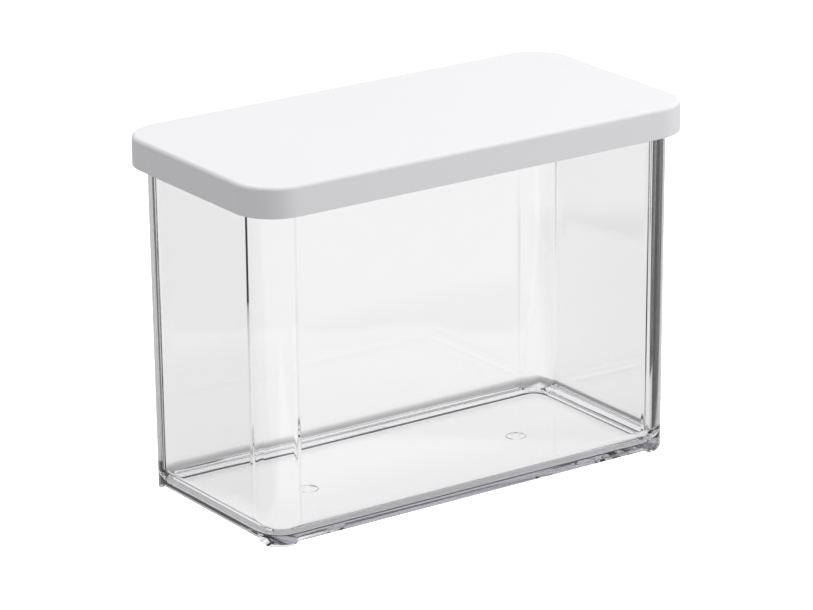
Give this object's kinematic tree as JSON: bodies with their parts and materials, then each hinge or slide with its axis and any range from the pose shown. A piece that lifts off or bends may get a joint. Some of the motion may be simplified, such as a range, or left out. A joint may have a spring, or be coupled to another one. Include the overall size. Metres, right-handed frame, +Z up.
{
  "type": "storage box",
  "caption": "Tall clear rectangular storage box with rounded corners, low corner feet and a white lift-off lid with a soft seal.",
  "frame": {"origin": "on the table, under the middle of the closed box", "axes": "+X along the box's length, the long front wall faces -Y, +Z up towards the lid"},
  "size_m": [0.2, 0.1, 0.142],
  "materials": {
    "clear_plastic": "clear, polished, injection moulded",
    "white_plastic": "satin, opaque, injection moulded",
    "translucent_rubber": "matt, translucent"
  },
  "bodies": {
    "container": {"container": "clear_plastic"},
    "lid": {"lid": "white_plastic", "seal_ring": "translucent_rubber"}
  },
  "joints": [
    {"name": "lid_lift", "type": "slide", "parent": "container", "child": "lid", "axis": [0, 0, 1], "range_m": [0, 0.15]}
  ]
}
